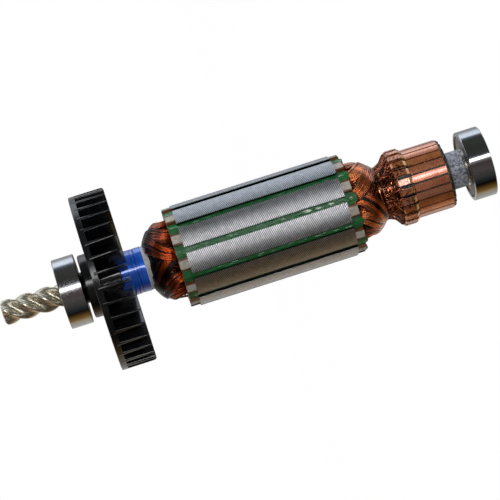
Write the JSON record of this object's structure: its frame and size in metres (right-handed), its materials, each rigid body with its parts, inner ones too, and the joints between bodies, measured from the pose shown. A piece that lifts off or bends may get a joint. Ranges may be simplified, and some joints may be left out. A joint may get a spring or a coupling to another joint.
{
  "type": "motor armature",
  "caption": "Wound motor armature: slotted core on a steel shaft with helical pinion, sealed ball bearings, black radial fan, copper windings and a hooked commutator.",
  "frame": {"origin": "centre of the commutator bearing's lower face, on the shaft's axis", "axes": "+Z along the shaft from the commutator to the pinion"},
  "size_m": [0.0554, 0.0554, 0.1563],
  "materials": {
    "shaft_steel": "ground and hardened",
    "moulded_insulation": "speckled moulding",
    "blue_film": "glossy film",
    "fan_nylon": "satin moulding",
    "core_steel": "ground sheet edges",
    "end_plate_fibre": "pressed fibre",
    "slot_paper": "varnished paper",
    "enamelled_copper": "enamelled and varnished",
    "phenolic": "moulded",
    "wedge_green": "varnished",
    "bar_copper": "turned",
    "bearing_steel": "ground and polished",
    "cage_plastic": "moulded",
    "shield_steel": "pressed sheet"
  },
  "bodies": {
    "rotor": {"shaft": "shaft_steel", "shaft_insulation_tube": "moulded_insulation", "sleeve": "blue_film", "fan": "fan_nylon", "drive_bearing_inner_ring": "bearing_steel", "commutator_bearing_inner_ring": "bearing_steel", "core": "core_steel", "drive_end_plate": "end_plate_fibre", "commutator_end_plate": "end_plate_fibre", "slot_liners": "slot_paper", "slot_conductors": "enamelled_copper", "drive_winding_head": "enamelled_copper", "commutator_winding_head": "enamelled_copper", "commutator_body": "phenolic", "slot_wedge_01": "wedge_green", "slot_wedge_02": "wedge_green", "slot_wedge_03": "wedge_green", "slot_wedge_04": "wedge_green", "slot_wedge_05": "wedge_green", "slot_wedge_06": "wedge_green", "slot_wedge_07": "wedge_green", "slot_wedge_08": "wedge_green", "slot_wedge_09": "wedge_green", "slot_wedge_10": "wedge_green", "slot_wedge_11": "wedge_green", "slot_wedge_12": "wedge_green", "commutator_bar_01": "bar_copper", "commutator_bar_02": "bar_copper", "commutator_bar_03": "bar_copper", "commutator_bar_04": "bar_copper", "commutator_bar_05": "bar_copper", "commutator_bar_06": "bar_copper", "commutator_bar_07": "bar_copper", "commutator_bar_08": "bar_copper", "commutator_bar_09": "bar_copper", "commutator_bar_10": "bar_copper", "commutator_bar_11": "bar_copper", "commutator_bar_12": "bar_copper", "commutator_bar_13": "bar_copper", "commutator_bar_14": "bar_copper", "commutator_bar_15": "bar_copper", "commutator_bar_16": "bar_copper", "commutator_bar_17": "bar_copper", "commutator_bar_18": "bar_copper", "commutator_bar_19": "bar_copper", "commutator_bar_20": "bar_copper", "commutator_bar_21": "bar_copper", "commutator_bar_22": "bar_copper", "commutator_bar_23": "bar_copper", "commutator_bar_24": "bar_copper"},
    "drive_outer_race": {"drive_bearing_outer_ring": "bearing_steel", "drive_bearing_lower_shield": "shield_steel", "drive_bearing_upper_shield": "shield_steel"},
    "drive_ball_train": {"drive_bearing_balls": "bearing_steel", "drive_bearing_cage": "cage_plastic"},
    "commutator_outer_race": {"commutator_bearing_outer_ring": "bearing_steel", "commutator_bearing_lower_shield": "shield_steel", "commutator_bearing_upper_shield": "shield_steel"},
    "commutator_ball_train": {"commutator_bearing_balls": "bearing_steel", "commutator_bearing_cage": "cage_plastic"}
  },
  "joints": [
    {"name": "drive_outer_race_spin", "type": "hinge", "parent": "rotor", "child": "drive_outer_race", "pos_m": [0, 0, 0.1341], "axis": [0, 0, 1], "continuous": true},
    {"name": "drive_ball_train_spin", "type": "hinge", "parent": "rotor", "child": "drive_ball_train", "pos_m": [0, 0, 0.1341], "axis": [0, 0, 1], "continuous": true},
    {"name": "commutator_outer_race_spin", "type": "hinge", "parent": "rotor", "child": "commutator_outer_race", "pos_m": [0, 0, 0.0035], "axis": [0, 0, 1], "continuous": true},
    {"name": "commutator_ball_train_spin", "type": "hinge", "parent": "rotor", "child": "commutator_ball_train", "pos_m": [0, 0, 0.0035], "axis": [0, 0, 1], "continuous": true}
  ],
  "couplings": [
    {"joint": "drive_ball_train_spin", "follows": "drive_outer_race_spin", "ratio": 0.6323},
    {"joint": "commutator_ball_train_spin", "follows": "commutator_outer_race_spin", "ratio": 0.6323}
  ]
}
